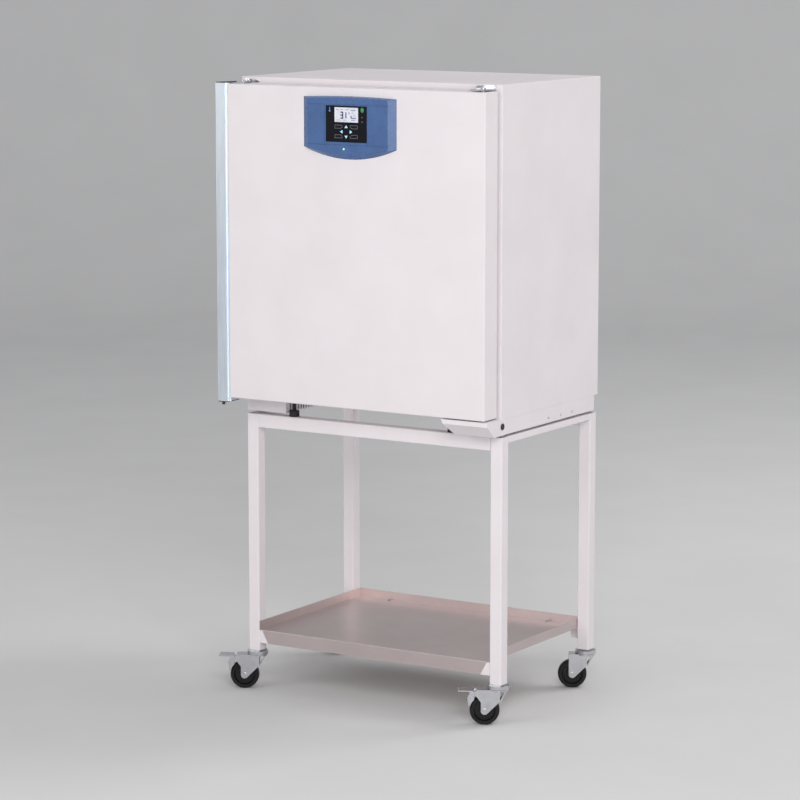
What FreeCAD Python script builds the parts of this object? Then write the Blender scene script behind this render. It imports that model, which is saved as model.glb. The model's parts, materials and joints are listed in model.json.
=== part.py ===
import FreeCAD, Part
import os
import re
import Sketcher

# Laboratory incubator on a mobile stand.
# Frame: millimetres, +Z up, the door faces -Y. The origin is on the floor, midway between the
# stand's legs in X and in Y.

Vector = FreeCAD.Vector
Rotation = FreeCAD.Rotation

SIZES = (
    ("casing_width", 760, "outer width of the cabinet's casing"),
    ("casing_height", 814, "height of the casing above the plinth"),
    ("casing_depth", 497, "depth of the casing behind its front plane"),
    ("sheet_wall", 1.5, "painted sheet of the casing, the door and the tray"),
    ("liner_wall", 1, "stainless sheet of the chamber"),
    ("flange_width", 22, "front return of the casing and the base pan"),
    ("fold_radius", 2, "outside radius of folded sheet"),
    ("door_radius", 3, "outside radius of the door's front edges"),
    ("tube_radius", 3, "corner radius of the stand's tubes"),
    ("fit_gap", 0.2, "clearance between pieces that sit in each other"),
    ("running_gap", 0.05, "radial clearance of a turning fit"),
    ("chamber_width", 540, "inside width of the chamber"),
    ("chamber_height", 520, "inside height of the chamber"),
    ("chamber_depth", 390, "inside depth of the chamber"),
    ("plinth_height", 40, "height of the beams below the casing"),
    ("plinth_width", 118, "width of each beam"),
    ("plinth_front_inset", 16, "beam front behind the casing's front plane"),
    ("plinth_rear_inset", 19, "beam rear in front of the casing's rear plane"),
    ("foot_gap", 7, "rail top to plinth bottom"),
    ("foot_pad_height", 15.5, "rubber pad of a levelling foot"),
    ("foot_pad_radius", 13, "rubber pad of a levelling foot"),
    ("foot_inset_left", 19, "left feet from the left beam's inner face"),
    ("foot_inset_right", 35, "right feet from the right beam's inner face"),
    ("foot_stem_radius", 5, "threaded stem of a levelling foot"),
    ("stand_width", 754, "outer width over the legs"),
    ("stand_depth", 485, "outer depth over the legs"),
    ("stand_setback", 10.5, "leg front behind the casing's front plane"),
    ("leg_tube", 33, "outer side of the square leg tube"),
    ("tube_wall", 2, "wall of every stand tube"),
    ("leg_length", 620, "length of a leg"),
    ("rail_height", 35, "front and rear rail"),
    ("side_rail_height", 17, "side rails"),
    ("tray_floor", 158, "underside of the tray's sheet above the ground"),
    ("tray_rim", 24, "height of the tray's side and rear rims"),
    ("tray_apron", 35, "drop of the tray's front apron"),
    ("tray_apron_slant", 19, "how far the apron's ends lean inwards"),
    ("tray_corner", 8, "apron's top corners inside the tray's sides"),
    ("wheel_radius", 37.5, "caster wheel"),
    ("caster_lift", 66.5, "wheel axle up to the end of a leg"),
    ("caster_height", "=wheel_radius + caster_lift", "ground to the end of a leg"),
    ("wheel_width", 24, "caster wheel tread"),
    ("wheel_hub_width", 29, "caster wheel over its hub"),
    ("wheel_axle_radius", 4, "caster axle"),
    ("caster_trail", 34, "swivel axis to wheel axis"),
    ("caster_yaw", 30, "degrees the casters stand turned from trailing towards -X"),
    ("fork_wall", 3, "pressed sheet of a caster fork"),
    ("cup_radius", 27, "fixed cup of a caster's swivel bearing"),
    ("kingpin_radius", 5, "pin of a caster's swivel"),
    ("door_thickness", 60.5, "outer door, front to back"),
    ("door_gap", 6, "door back to the casing's front plane"),
    ("door_rise", 3, "door bottom above the casing's bottom"),
    ("door_drop", 15.5, "door top below the casing's top"),
    ("door_inset_left", 2, "door edge inside the casing's left side"),
    ("door_inset_right", 9, "door edge inside the casing's right side"),
    ("hinge_inset", 18, "hinge axis inside the door's right edge"),
    ("hinge_depth", 40, "hinge axis in front of the door's back"),
    ("hinge_pin_radius", 4, "door hinge pins"),
    ("bracket_reach", 14, "lower bracket past the right beam's inner face"),
    ("bracket_slant", 20, "lean of the lower bracket's left end"),
    ("handle_width", 28, "front face of the full-height handle"),
    ("handle_slot", 8, "groove between the handle and the door panel"),
    ("handle_bead", 2.4, "radius of the hinge strip's bead"),
    ("handle_overhang", 10.8, "handle below the door's bottom"),
    ("handle_rise", 1.7, "handle above the door's top"),
    ("bezel_width", 270, "control panel moulding"),
    ("bezel_height", 155, "control panel moulding at its middle"),
    ("bezel_depth", 12, "control panel moulding in front of the door"),
    ("bezel_facet", 19, "sloping facet at each side of the moulding"),
    ("bezel_bow", 28, "hang of the moulding's lower edge at the door"),
    ("bezel_edge", 1.5, "radius round the moulding's face"),
    ("face_bow", 13, "hang of the moulding's lower edge at its face"),
    ("bezel_offset", -13, "middle of the control panel from the casing's middle"),
    ("bezel_drop", 20.5, "top of the control panel below the door's top"),
    ("keypad_width", 119, "black keypad window"),
    ("keypad_height", 89, "black keypad window"),
    ("keypad_offset", -16.5, "middle of the keypad from the casing's middle"),
    ("keypad_drop", 23, "keypad top below the control panel's top"),
    ("key_travel", 0.5, "travel of every key"),
    ("glass_thickness", 5, "inner glass door"),
    ("glass_gap", 2, "clearance round the inner glass door"),
    ("glass_inset", 4, "glass behind the casing's front plane"),
    ("cover_width", 420, "rear electronics cover"),
    ("cover_height", 420, "rear electronics cover"),
    ("cover_depth", 55, "rear electronics cover"),
    ("flue_radius", 26, "outside of the vent tube"),
    ("flue_wall", 2, "wall of the vent tube"),
    ("flue_stub", 40, "vent tube behind the casing"),
)
NAMES = {name for name, value, note in SIZES}

# Places that several pieces share, as formulas of the sizes above.
FRONT = "(-stand_depth / 2 - stand_setback)"
REAR = f"({FRONT} + casing_depth)"
HALF = "(casing_width / 2)"
STAND_TOP = "(caster_height + leg_length)"
PLINTH_LOW = f"({STAND_TOP} + foot_gap)"
CASE_LOW = f"({PLINTH_LOW} + plinth_height)"
CASE_TOP = f"({CASE_LOW} + casing_height)"
DOOR_LOW = f"({CASE_LOW} + door_rise)"
DOOR_TOP = f"({CASE_TOP} - door_drop)"
DOOR_BACK = f"({FRONT} - door_gap)"
DOOR_FRONT = f"({DOOR_BACK} - door_thickness)"
DOOR_LEFT = f"(-{HALF} + door_inset_left)"
DOOR_RIGHT = f"({HALF} - door_inset_right)"
HINGE_X = f"({DOOR_RIGHT} - hinge_inset)"
HINGE_Y = f"({DOOR_BACK} - hinge_depth)"
CHAMBER_LOW = f"(({CASE_LOW} + {CASE_TOP} - chamber_height) / 2)"
CHAMBER_TOP = f"({CHAMBER_LOW} + chamber_height)"
CHAMBER_BACK = f"({FRONT} + chamber_depth)"
BEZEL_TOP = f"({DOOR_TOP} - bezel_drop)"
BEZEL_FACE = f"({DOOR_FRONT} - bezel_depth)"
KEYPAD_TOP = f"({BEZEL_TOP} - keypad_drop)"
KEYPAD_LOW = f"({KEYPAD_TOP} - keypad_height)"
COVER_LOW = f"({CASE_LOW} + 60)"
FLUE_Z = f"({CHAMBER_TOP} - 60)"
LEG_X = "(stand_width / 2 - leg_tube / 2)"
LEG_Y = "(stand_depth / 2 - leg_tube / 2)"

UPRIGHT = Rotation()
ALONG_X = Rotation(Vector(0, 1, 0), 90)
ALONG_Y = Rotation(Vector(1, 0, 0), -90)
SIDE_VIEW = Rotation(Vector(1, 1, 1), 120)     # sketch x, y -> world Y, Z; pad runs along +X
FRONT_VIEW = Rotation(Vector(1, 0, 0), 90)     # sketch x, y -> world X, Z; pad runs along -Y

doc = FreeCAD.newDocument("incubator")
nodes = []


def make_sheet():
    sheet = doc.addObject("Spreadsheet::Sheet", "Sizes")
    for row, (name, value, note) in enumerate(SIZES, start=1):
        sheet.set(f"A{row}", note)
        sheet.set(f"B{row}", str(value))
        sheet.setAlias(f"B{row}", name)
    doc.recompute()


def formula(text):
    """The expression for the document: every size's name gets the sheet's name before it."""
    word = re.compile(r"[a-z][a-z0-9_]*")
    return word.sub(lambda m: "Sizes." + m.group() if m.group() in NAMES else m.group(), str(text))


def number(text):
    """The value of a formula in millimetres, worked out by the document's own expressions."""
    return float(doc.getObject("Sizes").evalExpression(formula(text)))


def place(thing, low, turn=UPRIGHT):
    thing.Placement = FreeCAD.Placement(Vector(), turn)
    for axis, value in zip("xyz", low):
        thing.setExpression(f"Placement.Base.{axis}", formula(value))
    return thing


def box(low, size):
    thing = doc.addObject("Part::Box", "Box")
    for side, value in zip(("Length", "Width", "Height"), size):
        thing.setExpression(side, formula(value))
    return place(thing, low)


def rod(base, radius, length, turn=UPRIGHT):
    thing = doc.addObject("Part::Cylinder", "Rod")
    thing.setExpression("Radius", formula(radius))
    thing.setExpression("Height", formula(length))
    return place(thing, base, turn)


def fuse(*shapes):
    thing = doc.addObject("Part::MultiFuse", "Joined")
    thing.Shapes = list(shapes)
    thing.Refine = True
    return thing


def cut(base, *tools):
    thing = doc.addObject("Part::Cut", "Cut")
    thing.Base = base
    thing.Tool = tools[0] if len(tools) == 1 else fuse(*tools)
    return thing


def common(first, second):
    thing = doc.addObject("Part::Common", "Shared")
    thing.Base = first
    thing.Tool = second
    return thing


def softened(thing, radius, chosen):
    """Rounds the edges whose bounding box the test picks."""
    doc.recompute()
    size = number(radius)
    rounded = doc.addObject("Part::Fillet", "Rounded")
    rounded.Base = thing
    rounded.Edges = [(index, size, size) for index, edge in enumerate(thing.Shape.Edges, start=1)
                     if chosen(edge.BoundBox)]
    return rounded


def group(*shapes):
    thing = doc.addObject("Part::Compound", "Group")
    thing.Links = list(shapes)
    return thing


def node(name, thing):
    """Names a finished sub-part; its label is its file's name."""
    thing.Label = name
    nodes.append(thing)
    return thing


def sketch_outline(body, points):
    """A closed outline on the body's XY plane; every corner is tied to the sheet."""
    sketch = body.newObject("Sketcher::SketchObject", "Outline")
    plane = [f for f in body.Origin.OriginFeatures if f.Role == "XY_Plane"][0]
    sketch.AttachmentSupport = [(plane, "")]
    sketch.MapMode = "FlatFace"
    corners = [Vector(number(x), number(y), 0) for x, y in points]
    for start, end in zip(corners, corners[1:] + corners[:1]):
        sketch.addGeometry(Part.LineSegment(start, end))
    for index in range(len(points)):
        after = (index + 1) % len(points)
        sketch.addConstraint(Sketcher.Constraint("Coincident", index, 2, after, 1))
    for index, (x, y) in enumerate(points):
        for kind, value in (("DistanceX", x), ("DistanceY", y)):
            row = sketch.addConstraint(Sketcher.Constraint(kind, -1, 1, index, 1, number(value)))
            sketch.setExpression(f"Constraints[{row}]", formula(value))
    return sketch


def padded(points, length, low, turn=UPRIGHT):
    """A prism on an outline, from its own origin along the outline's normal."""
    body = doc.addObject("PartDesign::Body", "Prism")
    pad = body.newObject("PartDesign::Pad", "Pad")
    pad.Profile = sketch_outline(body, points)
    pad.setExpression("Length", formula(length))
    return place(body, low, turn)


def turned(points, low, turn=UPRIGHT):
    """A ring or disc: the outline revolved round the body's own Y axis."""
    body = doc.addObject("PartDesign::Body", "Turned")
    revolution = body.newObject("PartDesign::Revolution", "Revolution")
    sketch = sketch_outline(body, points)
    revolution.Profile = sketch
    revolution.ReferenceAxis = (sketch, ["V_Axis"])
    revolution.Angle = 360
    return place(body, low, turn)


def tube(low, size, along):
    """A square tube with the stand's wall; along names the open axis."""
    inner_low = [v if a == along else f"{v} + tube_wall" for a, v in zip("XYZ", low)]
    inner = [v if a == along else f"{v} - 2 * tube_wall" for a, v in zip("XYZ", size)]
    outer = softened(box(low, size), "tube_radius",
                     lambda bounds: getattr(bounds, along + "Length") > 100)
    return cut(outer, box(inner_low, inner))


# ---------------------------------------------------------------- cabinet

def outer_casing():
    """Top and two sides folded from one sheet, with a return round the front and the rear."""
    height = f"({CASE_TOP} - {CASE_LOW})"
    low = number(CASE_LOW)
    shell = softened(box((f"-{HALF}", FRONT, CASE_LOW), ("casing_width", "casing_depth", height)),
                     "fold_radius", lambda bounds: bounds.ZMax > low + 1)
    inside = box((f"-{HALF} + sheet_wall", f"{FRONT} + sheet_wall", f"{CASE_LOW} - 1"),
                 ("casing_width - 2 * sheet_wall", "casing_depth - 2 * sheet_wall",
                  f"{height} - sheet_wall + 1"))
    mouth = box((f"-{HALF} + flange_width", f"{FRONT} - 1", f"{CASE_LOW} - 1"),
                ("casing_width - 2 * flange_width", "casing_depth + 2",
                 f"{height} - flange_width + 1"))
    return cut(shell, inside, mouth, latch_slot())


def latch_slot():
    """The opening in the front return that takes the door's latch."""
    return box((f"{DOOR_LEFT} + 7", f"{FRONT} - 5", f"{DOOR_TOP} + 1"), ("46", "10", "9"))


def base_pan():
    """Bottom of the cabinet, a shallow pan between the casing's sides."""
    outer = box((f"-{HALF} + sheet_wall + fit_gap", FRONT, CASE_LOW),
                ("casing_width - 2 * sheet_wall - 2 * fit_gap", "casing_depth", "flange_width"))
    hollow = box((f"-{HALF} + flange_width", f"{FRONT} + sheet_wall", f"{CASE_LOW} + sheet_wall"),
                 ("casing_width - 2 * flange_width", "casing_depth - 2 * sheet_wall",
                  "flange_width"))
    notches = []
    for side in (-1, 1):
        x = f"{side} * ({HALF} - flange_width / 2) - flange_width / 2 - 1"
        notches.append(box((x, f"{FRONT} - 1", f"{CASE_LOW} + sheet_wall"),
                           ("flange_width + 2", "casing_depth + 2", "flange_width")))
        for y in (f"{FRONT} - 1", f"{REAR} - sheet_wall - fit_gap"):
            notches.append(box((x, y, f"{CASE_LOW} - 1"),
                               ("flange_width + 2", "sheet_wall + fit_gap + 1", "flange_width")))
    stems = [rod((x, y, f"{CASE_LOW} - 1"), "foot_stem_radius + fit_gap", "sheet_wall + 2")
             for x, y in foot_places()]
    return cut(outer, hollow, *notches, *stems)


def rear_panel():
    panel = box((f"-{HALF} + flange_width + fit_gap", f"{REAR} - sheet_wall",
                 f"{CASE_LOW} + flange_width + fit_gap"),
                ("casing_width - 2 * flange_width - 2 * fit_gap", "sheet_wall",
                 "casing_height - 2 * flange_width - 2 * fit_gap"))
    return cut(panel, flue_bore("fit_gap"))


def chamber_liner():
    """Welded stainless box, open at the front, with its front face as a flange."""
    box_part = box(("-chamber_width / 2 - liner_wall", FRONT, f"{CHAMBER_LOW} - liner_wall"),
                   ("chamber_width + 2 * liner_wall", "chamber_depth + liner_wall",
                    "chamber_height + 2 * liner_wall"))
    flange = box((f"-{HALF} + flange_width + fit_gap", FRONT,
                  f"{CASE_LOW} + flange_width + fit_gap"),
                 ("casing_width - 2 * flange_width - 2 * fit_gap", "liner_wall",
                  "casing_height - 2 * flange_width - 2 * fit_gap"))
    hollow = box(("-chamber_width / 2", f"{FRONT} - 1", CHAMBER_LOW),
                 ("chamber_width", "chamber_depth + 1", "chamber_height"))
    vent = rod(("0", f"{CHAMBER_BACK} - 1", FLUE_Z), "flue_radius - flue_wall",
               "liner_wall + 2", ALONG_Y)
    probe = rod((PROBE_X, f"{CHAMBER_BACK} - 1", PROBE_Z), "3 + running_gap",
                "liner_wall + 2", ALONG_Y)
    pivots = rod((GLASS_X, GLASS_Y, f"{CHAMBER_LOW} - 5"), "2.5 + running_gap",
                 "chamber_height + 10")
    return cut(fuse(box_part, flange), hollow, vent, probe, pivots)


PROBE_X = "(chamber_width / 2 - 60)"
PROBE_Z = f"({CHAMBER_TOP} - 60)"
GLASS_X = "(chamber_width / 2 - 8)"
GLASS_Y = f"({FRONT} + glass_inset + glass_thickness / 2)"


def flue_bore(gap):
    return rod(("0", CHAMBER_BACK, FLUE_Z), f"flue_radius + {gap}", "casing_depth", ALONG_Y)


def chamber_insulation():
    """Mineral wool between the chamber and the casing, with room for the heating mats."""
    block = box((f"-{HALF} + sheet_wall + 1", f"{FRONT} + liner_wall + 16",
                 f"{CASE_LOW} + flange_width + 2"),
                ("casing_width - 2 * sheet_wall - 2", "casing_depth - 22",
                 "casing_height - flange_width - 6"))
    room = "(liner_wall + 3)"
    hollow = box((f"-chamber_width / 2 - {room}", FRONT, f"{CHAMBER_LOW} - {room}"),
                 (f"chamber_width + 2 * {room}", f"{CHAMBER_BACK} - {FRONT} + liner_wall + 1",
                  f"chamber_height + 2 * {room}"))
    probe = rod((PROBE_X, CHAMBER_BACK, PROBE_Z), "4", "60", ALONG_Y)
    return cut(block, hollow, flue_bore("1"), probe)


def heating_mats():
    """Flat heaters against the outside of the chamber's two sides, floor and ceiling."""
    deep = "chamber_depth - 60"
    y = f"{FRONT} + 40"
    side = ("2", deep, "chamber_height - 40")
    flat = ("chamber_width - 40", deep, "2")
    outside = "(chamber_width / 2 + liner_wall + fit_gap)"
    return group(box((f"-{outside} - 2", y, f"{CHAMBER_LOW} + 20"), side),
                 box((outside, y, f"{CHAMBER_LOW} + 20"), side),
                 box(("-chamber_width / 2 + 20", y, f"{CHAMBER_LOW} - liner_wall - fit_gap - 2"),
                     flat),
                 box(("-chamber_width / 2 + 20", y, f"{CHAMBER_TOP} + liner_wall + fit_gap"),
                     flat))


def temperature_probe():
    return fuse(rod((PROBE_X, f"{CHAMBER_BACK} - 70", PROBE_Z), "3", "110", ALONG_Y),
                rod((PROBE_X, f"{CHAMBER_BACK} - 4", PROBE_Z), "6", "3.8", ALONG_Y))


LEDGES = 7


def shelf_racks():
    """Two ladders of ledges that hang on the chamber's side walls."""
    racks = []
    for side in (-1, 1):
        wall = "(chamber_width / 2 - fit_gap)"
        x = f"-{wall}" if side < 0 else f"{wall} - 1.5"
        upright = box((x, f"{FRONT} + 30", f"{CHAMBER_LOW} + 15"),
                      ("1.5", "chamber_depth - 45", "chamber_height - 30"))
        slots = []
        pieces = [upright]
        for level in range(LEDGES):
            z = f"{CHAMBER_LOW} + 40 + {level} * (chamber_height - 80) / {LEDGES - 1}"
            x_ledge = f"-{wall}" if side < 0 else f"{wall} - 12"
            pieces.append(box((x_ledge, f"{FRONT} + 30", z), ("12", "chamber_depth - 45", "1.5")))
            if level:
                gap = f"({z} - (chamber_height - 80) / {LEDGES - 1} + 12)"
                slots.append(box((f"{x} - 1", f"{FRONT} + 60", gap),
                                 ("3.5", "chamber_depth - 105",
                                  f"(chamber_height - 80) / {LEDGES - 1} - 24")))
        racks.append(cut(fuse(*pieces), *slots))
    return group(*racks)


SHELF_WIRES = 19


def wire_shelves():
    """Two wire shelves, each resting on a pair of ledges."""
    shelves = []
    for level in (1, 4):
        ledge = f"({CHAMBER_LOW} + 40 + {level} * (chamber_height - 80) / {LEDGES - 1})"
        z = f"{ledge} + 1.5 + 3 + fit_gap"
        half = "(chamber_width / 2 - 8)"
        y_low = f"({FRONT} + 34)"
        deep = "(chamber_depth - 52)"
        frame = [rod((f"-{half}", y_low, z), "3", f"2 * {half}", ALONG_X),
                 rod((f"-{half}", f"{y_low} + {deep}", z), "3", f"2 * {half}", ALONG_X),
                 rod((f"-{half} + 3", y_low, z), "3", deep, ALONG_Y),
                 rod((f"{half} - 3", y_low, z), "3", deep, ALONG_Y)]
        for wire in range(1, SHELF_WIRES + 1):
            x = f"-{half} + 3 + {wire} * (2 * {half} - 6) / {SHELF_WIRES + 1}"
            frame.append(rod((x, y_low, z), "1.5", deep, ALONG_Y))
        shelves.append(fuse(*frame))
    return group(*shelves)


def foot_places():
    beam = f"({HALF} - plinth_width)"
    return [(x, f"{j} * {LEG_Y}")
            for x in (f"(foot_inset_left - {beam})", f"({beam} - foot_inset_right)")
            for j in (-1, 1)]


def levelling_feet():
    """Rubber pads on threaded stems; each stem runs up through the base pan."""
    feet = []
    for x, y in foot_places():
        pad = rod((x, y, STAND_TOP), "foot_pad_radius", "foot_pad_height")
        stem = rod((x, y, f"{STAND_TOP} + foot_pad_height"), "foot_stem_radius",
                   f"{CASE_LOW} - {STAND_TOP} - foot_pad_height + 8")
        nut = rod((x, y, f"{CASE_LOW} - 5"), "9", "4.8")
        feet.append(fuse(pad, stem, nut))
    return group(*feet)


VENTS = 9


def plinth_beams():
    """Two folded beams below the casing; air slots run along their inner faces."""
    beams = []
    top = number(f"{CASE_LOW} - fit_gap")
    for side in (-1, 1):
        x = f"-{HALF}" if side < 0 else f"{HALF} - plinth_width"
        y = f"({FRONT} + plinth_front_inset)"
        deep = "(casing_depth - plinth_front_inset - plinth_rear_inset)"
        outer = softened(box((x, y, PLINTH_LOW), ("plinth_width", deep, "plinth_height - fit_gap")),
                         "fold_radius", lambda bounds: bounds.ZMin < top - 1)
        hollow = box((f"{x} + sheet_wall", f"{y} + sheet_wall", f"{PLINTH_LOW} + sheet_wall"),
                     ("plinth_width - 2 * sheet_wall", f"{deep} - 2 * sheet_wall",
                      "plinth_height"))
        inner_x = f"{x} + plinth_width - 3" if side < 0 else f"{x} - 3"
        slots = []
        for slot in range(VENTS):
            slots.append(box((inner_x, f"{y} + 20 + {slot} * 12", f"{PLINTH_LOW} + 4"),
                             ("6", "6", "plinth_height - 20")))
        beams.append(cut(outer, hollow, *slots))
    return group(*beams)


PLUG_Y = f"({FRONT} + plinth_front_inset - 10)"
PLUG_Z = f"({PLINTH_LOW} + plinth_height / 2 + 2)"
PLUG_RADIUS = 5.5


def bracket_plug():
    """Snap-in plug that closes the access hole of the lower hinge."""
    shank = rod((f"{HALF} - 4", PLUG_Y, PLUG_Z), PLUG_RADIUS, "4.5", ALONG_X)
    head = rod((f"{HALF} + fit_gap", PLUG_Y, PLUG_Z), PLUG_RADIUS + 2.5, "1.6", ALONG_X)
    return fuse(shank, head)


def bracket_span(wall):
    """The lower bracket's limits in the front view: its left end leans, its right one is
    square."""
    left = f"({HALF} - plinth_width - bracket_reach + {wall})"
    right = f"({HALF} - {wall})"
    return padded(((left, "plinth_height"), (f"{left} + bracket_slant", "0"), (right, "0"),
                   (right, "plinth_height")), "200", ("0", f"{FRONT} + 100", PLINTH_LOW),
                  FRONT_VIEW)


def lower_hinge_bracket():
    """Folded bracket that carries the door: a shelf, a front lip, a sloping underside and
    two cheeks. It hangs in front of the right plinth beam."""
    front = "(-door_gap - door_thickness + 0.5)"
    back = "plinth_front_inset"
    outline = ((front, "plinth_height"), (front, "plinth_height - 11"), ("-34", "0"),
               (back, "0"), (back, "plinth_height"))
    inside = ((f"{front} + 3", "plinth_height - 3"), (f"{front} + 3", "plinth_height - 10"),
              ("-32", "3"), (f"{back} + 5", "3"), (f"{back} + 5", "plinth_height - 3"))
    start = (f"{HALF} - plinth_width - bracket_reach", FRONT, PLINTH_LOW)
    solid = common(padded(outline, "plinth_width + bracket_reach", start, SIDE_VIEW),
                   bracket_span("0"))
    hollow = common(padded(inside, "plinth_width + bracket_reach", start, SIDE_VIEW),
                    bracket_span("3"))
    bore = rod((HINGE_X, HINGE_Y, f"{CASE_LOW} - 5"), "hinge_pin_radius + running_gap", "10")
    access = rod((f"{HALF} - 5", PLUG_Y, PLUG_Z), f"{PLUG_RADIUS} + fit_gap", "10", ALONG_X)
    return cut(solid, hollow, bore, access)


def upper_hinge_bracket():
    """Angle on the casing's front; its shelf reaches over the door's top edge."""
    z = f"({DOOR_TOP} + 2.5)"
    deep = f"({FRONT} - {HINGE_Y} + 14)"
    shelf = box((f"{HINGE_X} - 29", f"{HINGE_Y} - 14", z), ("38", deep, "4"))
    leg = box((f"{HINGE_X} - 29", f"{FRONT} - 3", z), ("38", "3", "door_drop - 3.5"))
    web = box((f"{HINGE_X} - 29", f"{FRONT} - 30", f"{z} + 1"), ("22", "28", "door_drop - 5.5"))
    relief = box((f"{HINGE_X} - 24", f"{FRONT} - 31", f"{z} + 7"), ("12", "20", "2"))
    bore = rod((HINGE_X, HINGE_Y, f"{z} - 1"), "hinge_pin_radius + running_gap", "6")
    return cut(fuse(shelf, leg, web), bore, relief)


def hinge_pins():
    """Two headed pins, one down from the upper bracket and one up from the lower bracket."""
    top = f"({DOOR_TOP} + 6.5)"
    upper = fuse(rod((HINGE_X, HINGE_Y, f"{top} - 24"), "hinge_pin_radius", "24"),
                 rod((HINGE_X, HINGE_Y, top), "hinge_pin_radius + 2.5", "3"))
    low = f"({CASE_LOW} - 3)"
    lower = fuse(rod((HINGE_X, HINGE_Y, low), "hinge_pin_radius", "24"),
                 rod((HINGE_X, HINGE_Y, f"{low} - 3"), "hinge_pin_radius + 2.5", "3"))
    return group(upper, lower)


def latch_striker():
    """Pressed keeper behind the slot in the casing's front return."""
    x = f"({DOOR_LEFT} + 4)"
    z = f"({DOOR_TOP} - 1)"
    outer = box((x, f"{FRONT} + sheet_wall", z), ("52", "15", "13"))
    hollow = box((f"{x} + 1.5", FRONT, f"{z} + 1.5"), ("49", "15", "10"))
    return cut(outer, hollow)


def rear_cover():
    """Vented box over the electronics on the back of the cabinet."""
    back = number(f"{REAR} + fit_gap")
    outer = softened(box(("-cover_width / 2", f"{REAR} + fit_gap", COVER_LOW),
                         ("cover_width", "cover_depth", "cover_height")),
                     "fold_radius", lambda bounds: bounds.YMax > back + 1)
    hollow = box(("-cover_width / 2 + sheet_wall", f"{REAR} - 1", f"{COVER_LOW} + sheet_wall"),
                 ("cover_width - 2 * sheet_wall", "cover_depth + 1 - sheet_wall + fit_gap",
                  "cover_height - 2 * sheet_wall"))
    slots = []
    for column in range(12):
        x = f"-cover_width / 2 + 60 + {column} * (cover_width - 126) / 11"
        slots.append(box((x, f"{REAR} + cover_depth - 5", f"{COVER_LOW} + cover_height - 90"),
                         ("6", "10", "50")))
    return cut(outer, inlet_hole("fit_gap"), hollow, *slots)


INLET_X = "(cover_width / 2 - 90)"
INLET_Z = f"({COVER_LOW} + 40)"


def inlet_hole(gap):
    return box((f"{INLET_X} - {gap}", f"{REAR} + cover_depth - 10", f"{INLET_Z} - {gap}"),
               (f"48 + 2 * {gap}", "20", f"28 + 2 * {gap}"))


def mains_inlet():
    """Appliance inlet with three flat contacts in its recess."""
    face = f"({REAR} + cover_depth + 2 * fit_gap)"
    block = box((INLET_X, f"{face} - 22", INLET_Z), ("48", "22", "28"))
    rim = box((f"{INLET_X} - 3", face, f"{INLET_Z} - 3"), ("54", "2.5", "34"))
    recess = box((f"{INLET_X} + 11", f"{face} - 17", f"{INLET_Z} + 5"), ("26", "30", "18"))
    body = cut(fuse(block, rim), recess)
    pins = [box((f"{INLET_X} + {x}", f"{face} - 18", f"{INLET_Z} + {z}"), ("2", "15", "5"))
            for x, z in ((16, 9), (23, 14), (30, 9))]
    return fuse(body, *pins)


def flue_tube():
    """Vent from the chamber to the outside, with a flange against the rear panel."""
    y = f"({CHAMBER_BACK} + liner_wall + fit_gap)"
    length = f"({REAR} - {y} + flue_stub)"
    tube_part = rod(("0", y, FLUE_Z), "flue_radius", length, ALONG_Y)
    collar = rod(("0", f"{REAR} + fit_gap", FLUE_Z), "flue_radius + 12", "2", ALONG_Y)
    bore = rod(("0", f"{y} - 1", FLUE_Z), "flue_radius - flue_wall", f"{length} + 2", ALONG_Y)
    return cut(fuse(tube_part, collar), bore)


def screw(base, turn, radius=3, height=1.8):
    return rod(base, radius, height, turn)


def panel_screws():
    """Round-headed screws of the plinth's right side, the rear cover and the tray."""
    heads = []
    for y in (237, 300, 358):
        heads.append(screw((HALF, f"{FRONT} + {y}", f"{PLINTH_LOW} + 13"), ALONG_X))
        heads.append(screw((f"-{HALF} - 1.8", f"{FRONT} + {y}", f"{PLINTH_LOW} + 13"), ALONG_X))
    for i in (-1, 1):
        for j in (0, 1):
            heads.append(screw((f"{i} * (cover_width / 2 - 14)",
                                f"{REAR} + fit_gap + cover_depth",
                                f"{COVER_LOW} + 14 + {j} * (cover_height - 28)"), ALONG_Y))
        heads.append(screw((f"{i} * 244", "stand_depth / 2 - 12", "tray_floor + sheet_wall"),
                           UPRIGHT, 4.5, 2.5))
    return group(*heads)


# ---------------------------------------------------------------- stand

def stand_legs():
    legs = []
    for i in (-1, 1):
        for j in (-1, 1):
            low = (f"{i} * {LEG_X} - leg_tube / 2", f"{j} * {LEG_Y} - leg_tube / 2",
                   "caster_height")
            legs.append(tube(low, ("leg_tube", "leg_tube", "leg_length"), "Z"))
    return group(*legs)


def stand_rails():
    """Front and rear rails, and the two lower side rails, welded between the legs' tops."""
    rails = []
    for j in (-1, 1):
        low = ("-stand_width / 2 + leg_tube", f"{j} * {LEG_Y} - leg_tube / 2",
               f"{STAND_TOP} - rail_height")
        rails.append(tube(low, ("stand_width - 2 * leg_tube", "leg_tube", "rail_height"), "X"))
    for i in (-1, 1):
        low = (f"{i} * {LEG_X} - leg_tube / 2", "-stand_depth / 2 + leg_tube",
               f"{STAND_TOP} - side_rail_height")
        size = ("leg_tube", "stand_depth - 2 * leg_tube", "side_rail_height")
        rails.append(tube(low, size, "Y"))
    return group(*rails)


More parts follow.
